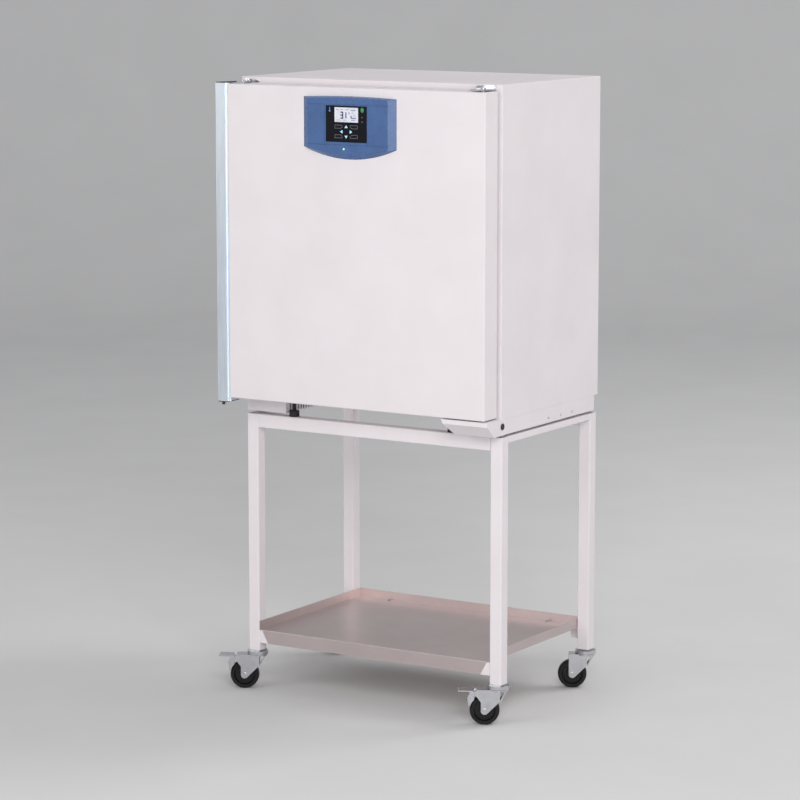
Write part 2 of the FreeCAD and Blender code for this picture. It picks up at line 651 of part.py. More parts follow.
def stand_tray():
    """Folded sheet between the legs: rims up at the sides and the rear, an apron down in
    front whose ends lean inwards."""
    half = "(stand_width / 2 - leg_tube - fit_gap)"
    low = (f"-{half}", "-stand_depth / 2", "tray_floor")
    block = box(low, (f"2 * {half}", "stand_depth - 2", "tray_rim"))
    hollow = box((f"-{half} + sheet_wall", "-stand_depth / 2 - 1", "tray_floor + sheet_wall"),
                 (f"2 * {half} - 2 * sheet_wall", "stand_depth - 1 - sheet_wall", "tray_rim"))
    wide = f"({half} - tray_corner)"
    narrow = f"({wide} - tray_apron_slant)"
    apron = padded(((f"-{wide}", "0"), (f"-{narrow}", "-tray_apron"), (narrow, "-tray_apron"),
                    (wide, "0")), "sheet_wall",
                   ("0", "-stand_depth / 2 + sheet_wall", "tray_floor + sheet_wall"), FRONT_VIEW)
    edge_y, edge_z = number("-stand_depth / 2"), number("tray_floor + sheet_wall")
    return softened(fuse(cut(block, hollow), apron), "sheet_wall - 0.1",
                    lambda bounds: bounds.YMax < edge_y + 0.01 and bounds.ZMin > edge_z - 0.01
                    and bounds.ZMax < edge_z + 0.01)


def tray_lugs():
    """Angles welded to the legs; the tray's corners rest on them."""
    lugs = []
    for i in (-1, 1):
        for j in (-1, 1):
            x = f"{i} * (stand_width / 2 - leg_tube - 17) - 17"
            y_plate = f"{j} * (stand_depth / 2 - sheet_wall - 1.7) - 1.5"
            y_shelf = f"{j} * (stand_depth / 2 - sheet_wall - 14.2) - 14"
            low = "(tray_floor - tray_apron + sheet_wall)"
            plate = box((x, y_plate, low), ("34", "3", f"tray_floor - {low}"))
            shelf = box((x, y_shelf, "tray_floor - 3"), ("34", "28", "3"))
            lugs.append(fuse(plate, shelf))
    return group(*lugs)


# ---------------------------------------------------------------- casters

CORNERS = {"front_left": (-1, -1), "front_right": (1, -1), "rear_left": (-1, 1),
           "rear_right": (1, 1)}
CROWN_TOP = "(caster_height - 13)"


def caster_sockets():
    """Plug in the leg's end, flange, bearing cup and kingpin of each caster."""
    sockets = []
    for i, j in CORNERS.values():
        x, y = f"{i} * {LEG_X}", f"{j} * {LEG_Y}"
        plug = "(leg_tube - 2 * tube_wall - 2 * fit_gap)"
        sockets.append(fuse(
            box((f"{x} - {plug} / 2", f"{y} - {plug} / 2", "caster_height - 1"),
                (plug, plug, "36")),
            box((f"{x} - leg_tube / 2", f"{y} - leg_tube / 2", "caster_height - 4"),
                ("leg_tube", "leg_tube", "4")),
            rod((x, y, "caster_height - 12"), "cup_radius", "8.5"),
            rod((x, y, f"{CROWN_TOP} - 9"), "kingpin_radius", "12"),
            rod((x, y, f"{CROWN_TOP} - 9"), "kingpin_radius + 3", "3")))
    return group(*sockets)


def swivelled(thing, i, j):
    """Puts a piece made round its own swivel axis on its corner of the stand."""
    yaw = Rotation(Vector(0, 0, 1), number("caster_yaw"))
    return place(thing, (f"{i} * {LEG_X}", f"{j} * {LEG_Y}", "0"), yaw)


FORK_INSIDE = "(wheel_hub_width / 2 + 0.6)"
FORK_ACROSS = f"(2 * {FORK_INSIDE} + 2 * fork_wall)"
EYE_RADIUS = 9.3
BRAKE_X = "(-caster_trail - 16)"
BRAKE_Z = f"({CROWN_TOP} - 12)"
BRAKE_PIN = 3


def across(points, width):
    """A prism on an outline in the caster's side view, centred on its middle plane."""
    return padded(points, width, ("0", f"{width} / 2", "0"), FRONT_VIEW)


def cross_rod(x, z, radius, width):
    return rod((x, f"-{width} / 2", z), radius, width, ALONG_Y)


def caster_fork(i, j):
    """Pressed fork of a caster: crown, two side plates with a sloping front, and the axle
    riveted through them. The front casters' plates also carry the brake's pivot."""
    back = f"(-caster_trail - {EYE_RADIUS})"
    toe = f"{EYE_RADIUS} * 0.7071"
    outline = [("5", CROWN_TOP), ("4", "wheel_radius + 24"),
               (f"-caster_trail + {toe}", f"wheel_radius - {toe}"),
               ("-caster_trail", "wheel_radius"), (back, "wheel_radius")]
    if j < 0:
        outline += [(back, "wheel_radius + 22"), (f"{BRAKE_X} - 9", f"{CROWN_TOP} - 10"),
                    (f"{BRAKE_X} - 9", f"{CROWN_TOP} - 5"), (f"{BRAKE_X} - 2", CROWN_TOP)]
    else:
        outline += [(back, CROWN_TOP)]
    under = f"({CROWN_TOP} - 3.5)"
    blank = fuse(across(outline, FORK_ACROSS),
                 cross_rod("-caster_trail", "wheel_radius", EYE_RADIUS, FORK_ACROSS))
    gap = box(("-100", f"-{FORK_INSIDE}", "0"), ("200", f"2 * {FORK_INSIDE}", under))
    front = across((("3", "wheel_radius + 24"), ("6", "wheel_radius + 23"), ("21", under),
                    ("17", under)), FORK_ACROSS)
    crown = rod(("0", "0", under), "cup_radius - 2", "3.5")
    axle = cross_rod("-caster_trail", "wheel_radius", "wheel_axle_radius",
                     f"({FORK_ACROSS} + 4)")
    heads = cut(cross_rod("-caster_trail", "wheel_radius", "wheel_axle_radius + 2",
                          f"({FORK_ACROSS} + 4)"),
                box(("-100", f"-{FORK_ACROSS} / 2", "0"), ("200", FORK_ACROSS, "200")))
    holes = [rod(("0", "0", "0"), "kingpin_radius + running_gap", "caster_height")]
    if j < 0:
        holes.append(cross_rod(BRAKE_X, BRAKE_Z, f"({BRAKE_PIN} + running_gap)",
                               f"({FORK_ACROSS} + 4)"))
    shell = cut(fuse(cut(blank, gap), front, crown), *holes)
    return swivelled(fuse(shell, axle, heads), i, j)


def caster_wheel(i, j):
    """Solid wheel: bore, hub, thin web and a rounded tread."""
    bore = "(wheel_axle_radius + running_gap)"
    hub, half = "(wheel_hub_width / 2)", "(wheel_width / 2)"
    outline = ((bore, f"-{hub}"), ("11", f"-{hub}"), ("12.5", "-5"), ("25", "-5"),
               ("27", f"-{half}"), ("wheel_radius - 4", f"-{half}"),
               ("wheel_radius - 1", f"-{half} + 3"), ("wheel_radius", f"-{half} + 8"),
               ("wheel_radius", f"{half} - 8"), ("wheel_radius - 1", f"{half} - 3"),
               ("wheel_radius - 4", half), ("27", half), ("25", "5"), ("12.5", "5"),
               ("11", hub), (bore, hub))
    centre = (f"{i} * {LEG_X} - caster_trail * cos(caster_yaw)",
              f"{j} * {LEG_Y} - caster_trail * sin(caster_yaw)", "wheel_radius")
    return turned(outline, centre, Rotation(Vector(0, 0, 1), number("caster_yaw")))


def brake_pedal(i, j):
    """Foot lever of a front caster: tread, neck between the fork's plates, pivot pin and a
    shoe that bears on the wheel."""
    neck = f"(2 * {FORK_INSIDE} - 2)"
    reach = "(wheel_radius + 0.3)"
    lever = across(((f"{BRAKE_X} + 4", f"{BRAKE_Z} - 3.5"), (f"{BRAKE_X} + 4", f"{BRAKE_Z} + 4"),
                    (f"{BRAKE_X} - 11", f"{BRAKE_Z} + 6"), (f"{BRAKE_X} - 11", f"{BRAKE_Z} + 10"),
                    (f"{BRAKE_X} - 20", f"{BRAKE_Z} + 10"), (f"{BRAKE_X} - 20", f"{BRAKE_Z} + 6"),
                    (f"{BRAKE_X} - 27", f"{BRAKE_Z} - 9"), (f"{BRAKE_X} - 24", f"{BRAKE_Z} - 30"),
                    (f"{BRAKE_X} - 10", f"{BRAKE_Z} - 30"), (f"{BRAKE_X} - 10", f"{BRAKE_Z} - 4")),
                   neck)
    clear = cross_rod("-caster_trail", "wheel_radius", reach, f"({neck} + 4)")
    tread = across(((f"{BRAKE_X} - 13", f"{BRAKE_Z} + 7"), (f"{BRAKE_X} - 13", f"{BRAKE_Z} + 10"),
                    (f"{BRAKE_X} - 48", f"{BRAKE_Z} + 11"), (f"{BRAKE_X} - 51", f"{BRAKE_Z} + 8"),
                    (f"{BRAKE_X} - 46", f"{BRAKE_Z} + 8")), "38")
    pin = cross_rod(BRAKE_X, BRAKE_Z, BRAKE_PIN, f"({FORK_ACROSS} + 2)")
    return swivelled(fuse(cut(lever, clear), tread, pin), i, j)


# ---------------------------------------------------------------- door

def door_panel():
    """Painted outer shell of the door, a deep pan open at the back, with the two bushes for
    the hinge pins welded into its top and bottom edges."""
    width = f"({DOOR_RIGHT} - {DOOR_LEFT})"
    height = f"({DOOR_TOP} - {DOOR_LOW})"
    back = number(DOOR_BACK)
    shell = softened(box((DOOR_LEFT, DOOR_FRONT, DOOR_LOW), (width, "door_thickness", height)),
                     "door_radius", lambda bounds: bounds.YMin < back - 1)
    hollow = box((f"{DOOR_LEFT} + sheet_wall", f"{DOOR_FRONT} + sheet_wall",
                  f"{DOOR_LOW} + sheet_wall"),
                 (f"{width} - 2 * sheet_wall", "door_thickness",
                  f"{height} - 2 * sheet_wall"))
    window = box((f"{KEYPAD_X} + 10", f"{DOOR_FRONT} - 5", f"{KEYPAD_LOW} + 10"),
                 ("keypad_width - 20", "10", "keypad_height - 20"))
    bushes = [rod((HINGE_X, HINGE_Y, z), "hinge_pin_radius + 4", "20")
              for z in (f"{DOOR_TOP} - 20", DOOR_LOW)]
    pin = door_bush_bore("hinge_pin_radius + running_gap")
    return cut(fuse(cut(shell, hollow, window), *bushes), pin)


def door_bush_bore(radius):
    return rod((HINGE_X, HINGE_Y, f"{DOOR_LOW} - 5"), radius, f"{DOOR_TOP} - {DOOR_LOW} + 10")


def door_liner():
    """Flat sheet that closes the back of the door."""
    return box((f"{DOOR_LEFT} + sheet_wall + fit_gap", f"{DOOR_BACK} - sheet_wall",
                f"{DOOR_LOW} + sheet_wall + fit_gap"),
               (f"{DOOR_RIGHT} - {DOOR_LEFT} - 2 * sheet_wall - 2 * fit_gap", "sheet_wall",
                f"{DOOR_TOP} - {DOOR_LOW} - 2 * sheet_wall - 2 * fit_gap"))


def door_insulation():
    block = box((f"{DOOR_LEFT} + sheet_wall + 1", f"{DOOR_FRONT} + sheet_wall + 1",
                 f"{DOOR_LOW} + sheet_wall + 1"),
                (f"{DOOR_RIGHT} - {DOOR_LEFT} - 2 * sheet_wall - 2",
                 "door_thickness - 2 * sheet_wall - 2",
                 f"{DOOR_TOP} - {DOOR_LOW} - 2 * sheet_wall - 2"))
    board = box((f"{KEYPAD_X} - 5", f"{DOOR_FRONT} - 5", f"{KEYPAD_LOW} - 5"),
                ("keypad_width + 10", "25", "keypad_height + 10"))
    return cut(block, door_bush_bore("hinge_pin_radius + 5"), board)


def door_gasket():
    """Silicone frame on the door's back; it meets the chamber's flange."""
    half = f"({HINGE_X} - 6)"
    low, top = f"({DOOR_LOW} + 28)", f"({DOOR_TOP} - 16)"
    deep = "(door_gap - 0.5)"
    ring = box((f"-{half}", DOOR_BACK, low), (f"2 * {half}", deep, f"{top} - {low}"))
    hole = box((f"-{half} + 14", f"{DOOR_BACK} - 1", f"{low} + 14"),
               (f"2 * {half} - 28", "door_gap + 4", f"{top} - {low} - 28"))
    return cut(ring, hole)


HANDLE_X = f"({DOOR_LEFT} - handle_slot)"
HANDLE_LOW = f"({DOOR_LOW} - handle_overhang)"
HANDLE_LENGTH = f"({DOOR_TOP} - {DOOR_LOW} + handle_overhang + handle_rise)"
PIVOT_X = f"({HANDLE_X} + handle_slot / 2)"
PIVOT_Y = f"({DOOR_FRONT} + 9)"


def handle_bar():
    """Full-height hollow extrusion: flat front face, flank that runs back to the casing's side
    and a clip that turns on the door's hinge strip."""
    outline = (("-handle_width", "0"), ("0", "0"), ("0", "door_thickness - 2"),
               ("-2", "door_thickness - 2"), ("-5", "door_thickness - 5"), ("-11", "38"),
               ("-handle_width + 9", "22"), ("-handle_width + 1", "5"))
    inside = (("-handle_width + 4", "2"), ("-2", "2"), ("-2", "door_thickness - 7"),
              ("-3", "door_thickness - 9"), ("-9", "38"), ("-handle_width + 11.5", "22"))
    bar = padded(outline, HANDLE_LENGTH, (HANDLE_X, DOOR_FRONT, HANDLE_LOW))
    hollow = padded(inside, f"{HANDLE_LENGTH} + 2", (HANDLE_X, DOOR_FRONT, f"{HANDLE_LOW} - 1"))
    clip = rod((PIVOT_X, PIVOT_Y, HANDLE_LOW), "handle_slot / 2 - 0.1", HANDLE_LENGTH)
    root = box((f"{HANDLE_X} - 1", f"{PIVOT_Y} - 3", HANDLE_LOW), ("2.2", "6", HANDLE_LENGTH))
    bore = rod((PIVOT_X, PIVOT_Y, f"{HANDLE_LOW} - 1"), "handle_bead + running_gap",
               f"{HANDLE_LENGTH} + 2")
    mouth = box((f"{PIVOT_X} - 1.2", f"{PIVOT_Y} + 0.8", f"{HANDLE_LOW} - 1"),
                ("handle_slot", "handle_slot", f"{HANDLE_LENGTH} + 2"))
    return cut(fuse(cut(bar, hollow), clip, root), bore, mouth)


def handle_hinge_strip():
    """Strip on the door's left edge whose round bead carries the handle's clip."""
    height = f"({DOOR_TOP} - {DOOR_LOW})"
    bead = rod((PIVOT_X, PIVOT_Y, DOOR_LOW), "handle_bead", height)
    web = box((f"{PIVOT_X} - 0.6", PIVOT_Y, DOOR_LOW), ("1.2", "9", height))
    run = box((f"{PIVOT_X} - 0.6", f"{PIVOT_Y} + 7.5", DOOR_LOW),
              ("handle_slot / 2 + 0.6", "1.5", height))
    plate = box((f"{DOOR_LEFT} - 1.5", f"{PIVOT_Y} + 7.5", DOOR_LOW),
                ("1.5", "door_thickness - 22", height))
    return fuse(bead, web, run, plate)


def handle_end_caps():
    """Moulded caps on the extrusion's two ends; the lower one has a short stud below."""
    caps = []
    for low, pin in ((f"{HANDLE_LOW} - 2.2", f"{HANDLE_LOW} - 9"),
                     (f"{HANDLE_LOW} + {HANDLE_LENGTH} + 0.2", None)):
        outline = (("-0.5", "0.5"), ("-handle_width + 1", "0.5"), ("-handle_width + 10", "22"),
                   ("-6", "door_thickness - 6"), ("-0.5", "door_thickness - 6"))
        cap = padded(outline, "2", (HANDLE_X, DOOR_FRONT, low))
        if pin:
            stud = rod((f"{HANDLE_X} - handle_width / 2", f"{DOOR_FRONT} + 5", pin), "4", "8")
            cap = fuse(cap, stud)
        caps.append(cap)
    return group(*caps)


LATCH_X = f"({DOOR_LEFT} + 21.5)"
LATCH_Y = f"({DOOR_BACK} - 24)"


def latch_hook():
    """Flat latch on the door's top edge; its nose reaches into the casing's slot."""
    z = f"({DOOR_TOP} + 2)"
    bar = box((f"{LATCH_X} - 11", f"{LATCH_Y} - 8", z), ("22", f"{FRONT} - {LATCH_Y} + 14", "3.5"))
    boss = rod((LATCH_X, LATCH_Y, DOOR_TOP), "7", "2.5")
    head = rod((LATCH_X, LATCH_Y, f"{z} + 3"), "4.5", "1.6")
    return fuse(bar, boss, head)


KEYPAD_X = "(keypad_offset - keypad_width / 2)"


def bowed_outline(half, top, low, crown, bow, y):
    """Upright sides, a top edge that rises by crown and a lower edge that hangs by bow."""
    sketch = doc.addObject("Sketcher::SketchObject", "BowedOutline")
    corners = ((f"-{half}", low), (f"-{half}", top), (half, top), (half, low))
    points = [Vector(number(x), number(z), 0) for x, z in corners]
    middle_top = Vector(0, points[1].y + number(crown), 0)
    middle_low = Vector(0, points[0].y - number(bow), 0)
    sketch.addGeometry(Part.LineSegment(points[0], points[1]))
    sketch.addGeometry(Part.Arc(points[1], middle_top, points[2]))
    sketch.addGeometry(Part.LineSegment(points[2], points[3]))
    sketch.addGeometry(Part.Arc(points[3], middle_low, points[0]))
    # An arc's own start and end follow its counter-clockwise sense: the top one runs from
    # right to left, the lower one from left to right.
    for joint in ((0, 2, 1, 2), (1, 1, 2, 1), (2, 2, 3, 2), (3, 1, 0, 1)):
        sketch.addConstraint(Sketcher.Constraint("Coincident", *joint))
    for line, end, corner in ((0, 1, 0), (0, 2, 1), (2, 1, 2), (2, 2, 3)):
        for kind, value in zip(("DistanceX", "DistanceY"), corners[corner]):
            row = sketch.addConstraint(Sketcher.Constraint(kind, -1, 1, line, end, number(value)))
            sketch.setExpression(f"Constraints[{row}]", formula(value))
    for arc, rise in ((1, crown), (3, bow)):
        radius = f"({half} * {half} + {rise} * {rise}) / (2 * {rise})"
        row = sketch.addConstraint(Sketcher.Constraint("Radius", arc, number(radius)))
        sketch.setExpression(f"Constraints[{row}]", formula(radius))
    return place(sketch, ("bezel_offset", y, "0"), FRONT_VIEW)


BEZEL_LOW = f"({BEZEL_TOP} - bezel_height)"
BEZEL_CROWN = 3.5


def control_bezel():
    """Blue moulding: a bowed outline at the door, a smaller one at its face, and facets
    between them. Two fine grooves cross the face above and below the keypad, and a shallow
    step runs down each side of it."""
    half = "(bezel_width / 2)"
    at_door = bowed_outline(half, f"{BEZEL_TOP} - {BEZEL_CROWN}", f"{BEZEL_LOW} + bezel_bow",
                            BEZEL_CROWN, "bezel_bow", DOOR_FRONT)
    at_face = bowed_outline(f"({half} - bezel_facet)", f"{BEZEL_TOP} - {BEZEL_CROWN} - 3",
                            f"{BEZEL_LOW} + bezel_bow - 2", BEZEL_CROWN, "face_bow", BEZEL_FACE)
    loft = doc.addObject("Part::Loft", "Facets")
    loft.Sections = [at_door, at_face]
    loft.Solid = True
    loft.Ruled = True
    face = number(BEZEL_FACE)
    raw = softened(loft, "bezel_edge", lambda bounds: bounds.YMax < face + 0.01)
    pocket = box((f"{KEYPAD_X} - fit_gap", f"{BEZEL_FACE} - 1", f"{KEYPAD_LOW} - fit_gap"),
                 ("keypad_width + 2 * fit_gap", "4", "keypad_height + 2 * fit_gap"))
    window = box((f"{KEYPAD_X} + 10", f"{BEZEL_FACE} - 1", f"{KEYPAD_LOW} + 10"),
                 ("keypad_width - 20", "bezel_depth + 5", "keypad_height - 20"))
    led = rod((LED_X, f"{BEZEL_FACE} - 1", LED_Z), "2 + fit_gap", "bezel_depth + 2", ALONG_Y)
    grooves = [box((f"bezel_offset - {half}", f"{BEZEL_FACE} - 1", z),
                   ("bezel_width", "2.4", "1.8"))
               for z in (f"{KEYPAD_TOP} + 1.5", f"{KEYPAD_LOW} - 8")]
    steps = [box((x, f"{BEZEL_FACE} - 1", f"{KEYPAD_LOW} - 7"),
                 ("4.5", "1.9", "keypad_height + 8.4"))
             for x in (f"{KEYPAD_X} - 4.4", f"{KEYPAD_X} + keypad_width - 0.1")]
    return cut(raw, pocket, window, led, *grooves, *steps)


LED_X = "(keypad_offset - 7)"
LED_Z = f"({KEYPAD_LOW} - 17)"


def status_led():
    return rod((LED_X, f"{BEZEL_FACE} - 0.6", LED_Z), "2", "8", ALONG_Y)


# Key centres from the keypad's middle and key sizes, in millimetres.
KEYS = {
    "power_button": ((46, 35), (10, 12.6)),
    "soft_key_upper_left": ((-22.2, -7), (23, 9.6)),
    "soft_key_upper_right": ((22.4, -7), (23, 9.6)),
    "soft_key_lower_left": ((-22.2, -30.5), (23, 9.6)),
    "soft_key_lower_right": ((22.4, -30.5), (23, 9.6)),
    "arrow_up_key": ((0, -7), (10, 9.6)),
    "arrow_down_key": ((0, -31), (10, 9.6)),
    "arrow_left_key": ((-13.2, -19), (10, 9.6)),
    "arrow_right_key": ((13.4, -19), (10, 9.6)),
}
SCREEN = ((0.3, 22.5), (68.5, 36))


def keypad_rectangle(centre, size, grow, depth, front):
    (x, z), (width, height) = centre, size
    middle = f"({KEYPAD_LOW} + keypad_height / 2)"
    return box((f"keypad_offset + {x} - {width} / 2 - {grow}", front,
                f"{middle} + {z} - {height} / 2 - {grow}"),
               (f"{width} + 2 * {grow}", depth, f"{height} + 2 * {grow}"))


def keypad_panel():
    """Black front foil on its carrier, pierced for the screen and the keys."""
    plate = box((KEYPAD_X, f"{BEZEL_FACE} + 0.5", KEYPAD_LOW),
                ("keypad_width", "2.3", "keypad_height"))
    holes = [keypad_rectangle(c, s, "fit_gap", "10", f"{BEZEL_FACE} - 1")
             for c, s in list(KEYS.values()) + [SCREEN]]
    return cut(plate, *holes)


def key_cap(name):
    centre, size = KEYS[name]
    return keypad_rectangle(centre, size, "0", "2.3", f"{BEZEL_FACE} + 0.1")


def lcd_screen():
    centre, size = SCREEN
    return keypad_rectangle(centre, size, "0", "2.3", f"{BEZEL_FACE} + 0.6")


def control_board():
    """Circuit board behind the keypad, held in a pocket of the door's insulation."""
    return box((f"{KEYPAD_X} + 12", f"{DOOR_FRONT} + 4", f"{KEYPAD_LOW} + 12"),
               ("keypad_width - 24", "1.6", "keypad_height - 24"))


# ---------------------------------------------------------------- inner glass door

def glass_door():
    width = "(chamber_width - 2 * glass_gap)"
    pane = box((f"-{width} / 2", f"{FRONT} + glass_inset", f"{CHAMBER_LOW} + glass_gap"),
               (width, "glass_thickness", "chamber_height - 2 * glass_gap"))
    notches = [box((f"{GLASS_X} - 14", f"{FRONT} + glass_inset - 1", z),
                   ("40", "glass_thickness + 2", "22"))
               for z in (CHAMBER_LOW, f"{CHAMBER_TOP} - 22")]
    return cut(pane, *notches)


def glass_door_hinges():
    """Corner fittings of the glass, each with a pin in the chamber's floor or ceiling."""
    fittings = []
    for low, pin in ((f"({CHAMBER_LOW} + 0.5)", f"{CHAMBER_LOW} - 3"),
                     (f"({CHAMBER_TOP} - 21.5)", f"{CHAMBER_TOP} - 2")):
        block = box((f"{GLASS_X} - 13.8", f"{FRONT} + glass_inset + 0.2", low),
                    ("19.4", "glass_thickness - 0.4", "21"))
        fittings.append(fuse(block, rod((GLASS_X, GLASS_Y, pin), "2.5", "5")))
    return group(*fittings)


def glass_door_knob():
    x = "(-chamber_width / 2 + 30)"
    z = f"({CHAMBER_LOW} + chamber_height / 2)"
    return rod((x, f"{FRONT} - 1.5", z), "10", "glass_inset + 1.3", ALONG_Y)


# ---------------------------------------------------------------- build

def build():
    for maker in (outer_casing, base_pan, rear_panel, chamber_liner, chamber_insulation,
                  heating_mats, temperature_probe, shelf_racks, wire_shelves, levelling_feet,
                  plinth_beams, bracket_plug, lower_hinge_bracket, upper_hinge_bracket,
                  hinge_pins, latch_striker, rear_cover, mains_inlet, flue_tube, panel_screws,
                  stand_legs, stand_rails, stand_tray, tray_lugs, caster_sockets, door_panel,
                  door_liner, door_insulation, door_gasket, handle_hinge_strip, handle_bar,
                  handle_end_caps, latch_hook, control_bezel, keypad_panel, lcd_screen,
                  status_led, control_board, glass_door, glass_door_hinges, glass_door_knob):
        node(maker.__name__, maker())
    for name, (i, j) in CORNERS.items():
        node(f"caster_fork_{name}", caster_fork(i, j))
        node(f"caster_wheel_{name}", caster_wheel(i, j))
        if j < 0:
            node(f"brake_pedal_{name}", brake_pedal(i, j))
    for name in KEYS:
        node(name, key_cap(name))


def check_and_write():
    for thing in doc.Objects:
        if "Invalid" in thing.State or "Error" in thing.State:
            raise RuntimeError(f"{thing.Name} ({thing.Label}) failed: {thing.State}")
    os.makedirs("parts", exist_ok=True)
    for thing in nodes:
        shape = thing.Shape
        if shape.isNull() or not shape.isValid() or not shape.Solids:
            raise RuntimeError(f"{thing.Label} has no valid solid")
        shape.exportStep(os.path.join("parts", thing.Label + ".step"))
    print(len(nodes), "nodes written")


make_sheet()
build()
doc.recompute()
check_and_write()
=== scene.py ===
import json
import math

import bmesh
import bpy
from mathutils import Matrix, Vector


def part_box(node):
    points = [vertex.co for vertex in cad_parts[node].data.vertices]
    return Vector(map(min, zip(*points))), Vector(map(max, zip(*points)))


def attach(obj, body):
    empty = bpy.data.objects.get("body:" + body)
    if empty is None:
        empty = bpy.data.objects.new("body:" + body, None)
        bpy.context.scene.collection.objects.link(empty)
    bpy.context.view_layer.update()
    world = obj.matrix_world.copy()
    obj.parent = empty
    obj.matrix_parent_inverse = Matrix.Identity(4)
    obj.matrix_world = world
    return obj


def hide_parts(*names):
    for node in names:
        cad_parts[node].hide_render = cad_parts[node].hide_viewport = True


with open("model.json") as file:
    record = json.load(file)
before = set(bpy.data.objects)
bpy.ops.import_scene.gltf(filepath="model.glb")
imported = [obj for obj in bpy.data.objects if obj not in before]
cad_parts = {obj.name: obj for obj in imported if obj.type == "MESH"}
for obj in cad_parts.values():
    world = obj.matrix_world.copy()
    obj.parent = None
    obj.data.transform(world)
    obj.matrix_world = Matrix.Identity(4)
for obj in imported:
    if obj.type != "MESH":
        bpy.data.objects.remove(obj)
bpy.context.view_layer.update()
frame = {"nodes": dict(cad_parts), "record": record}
nodes = frame["nodes"]
scene = bpy.context.scene
scene.view_settings.view_transform = "Standard"

MM = 0.001


# ---------------------------------------------------------------- materials

class Shader:
    """A material with one Principled shader and short helpers for its texture nodes."""

    def __init__(self, name, **values):
        self.material = bpy.data.materials.new(name)
        self.material.use_nodes = True
        self.tree = self.material.node_tree
        self.shader = self.tree.nodes["Principled BSDF"]
        for socket, value in values.items():
            self.shader.inputs[socket.replace("_", " ")].default_value = value
        self.place = self.node("ShaderNodeTexCoord").outputs["Object"]

    def node(self, kind):
        return self.tree.nodes.new(kind)

    def link(self, start, end):
        self.tree.links.new(start, end)

    def noise(self, scale, detail=4.0, stretch=(1, 1, 1)):
        mapping = self.node("ShaderNodeMapping")
        mapping.inputs["Scale"].default_value = stretch
        self.link(self.place, mapping.inputs["Vector"])
        made = self.node("ShaderNodeTexNoise")
        made.inputs["Scale"].default_value = scale
        made.inputs["Detail"].default_value = detail
        made.inputs["Roughness"].default_value = 0.55
        self.link(mapping.outputs["Vector"], made.inputs["Vector"])
        return made.outputs["Fac"]

    def colours(self, source, low, high, start=0.35, end=0.65):
        """Base colour from low to high as the source runs from start to end."""
        ramp = self.node("ShaderNodeValToRGB")
        for element, position, colour in zip(ramp.color_ramp.elements, (start, end), (low, high)):
            element.position = position
            element.color = (*colour, 1)
        self.link(source, ramp.inputs["Fac"])
        self.link(ramp.outputs["Color"], self.shader.inputs["Base Color"])

    def roughness(self, source, low, high):
        spread = self.node("ShaderNodeMapRange")
        for socket, value in (("From Min", 0.3), ("From Max", 0.7), ("To Min", low),
                              ("To Max", high)):
            spread.inputs[socket].default_value = value
        self.link(source, spread.inputs["Value"])
        self.link(spread.outputs["Result"], self.shader.inputs["Roughness"])

    def bump(self, source, strength, distance):
        made = self.node("ShaderNodeBump")
        made.inputs["Strength"].default_value = strength
        made.inputs["Distance"].default_value = distance
        self.link(source, made.inputs["Height"])
        self.link(made.outputs["Normal"], self.shader.inputs["Normal"])


def tint(colour, factor):
    return tuple(min(1.0, channel * factor) for channel in colour)


def painted(name, colour):
    """Powder coat: faint orange peel, faint mottling."""
    made = Shader(name, Specular_IOR_Level=0.06)
    made.colours(made.noise(6, 3), tint(colour, 0.975), tint(colour, 1.015))
    made.roughness(made.noise(14, 2), 0.46, 0.58)
    made.bump(made.noise(900, 2), 0.10, 0.0004)
    return made.material


def metal(name, colour, rough, stretch=(1, 1, 1), scale=260, spread=0.08, bump=0.08,
          metallic=1.0):
    """Bare metal; a long stretch gives a brushed grain."""
    made = Shader(name, Metallic=metallic)
    made.colours(made.noise(scale, 5, stretch), tint(colour, 1 - spread),
                 tint(colour, 1 + spread))
    made.roughness(made.noise(scale * 0.6, 3, stretch), *rough)
    made.bump(made.noise(scale * 1.5, 2, stretch), bump, 0.0003)
    return made.material


def plastic(name, colour, rough, grain=1400, bump=0.08, **values):
    """Moulded or printed surface: slight mottling, fine grain."""
    made = Shader(name, **values)
    made.colours(made.noise(25, 3), tint(colour, 0.93), tint(colour, 1.07))
    made.roughness(made.noise(40, 3), *rough)
    made.bump(made.noise(grain, 2), bump, 0.0003)
    return made.material


def foil(name, colour, rough=(0.14, 0.22)):
    """Glossy dark foil over the keypad window and its keys."""
    return plastic(name, colour, rough, 300, 0.02, Specular_IOR_Level=0.25)


def lit(name, colour, strength):
    """A surface that glows in its own colour."""
    made = Shader(name, Emission_Strength=strength, Roughness=0.3)
    made.colours(made.noise(60, 2), tint(colour, 0.95), tint(colour, 1.05))
    made.shader.inputs["Emission Color"].default_value = (*colour, 1)
    return made.material


def glass(name):
    made = Shader(name, Transmission_Weight=1.0, IOR=1.45)
    made.colours(made.noise(3, 2), (0.93, 0.97, 0.96), (0.96, 0.99, 0.98))
    made.roughness(made.noise(8, 3), 0.0, 0.03)
    return made.material


def fibre(name, colour):
    """Mineral wool: layered, matt and uneven."""
    made = Shader(name, Roughness=0.95)
    made.colours(made.noise(120, 8, (1, 1, 4)), tint(colour, 0.7), tint(colour, 1.2))
    made.bump(made.noise(220, 6, (1, 1, 5)), 0.6, 0.003)
    return made.material


def board(name):
    """Circuit board: dark and lighter green patches like covered tracks."""
    made = Shader(name, Roughness=0.45)
    made.colours(made.noise(90, 1), (0.01, 0.10, 0.04), (0.03, 0.20, 0.08), 0.45, 0.55)
    return made.material


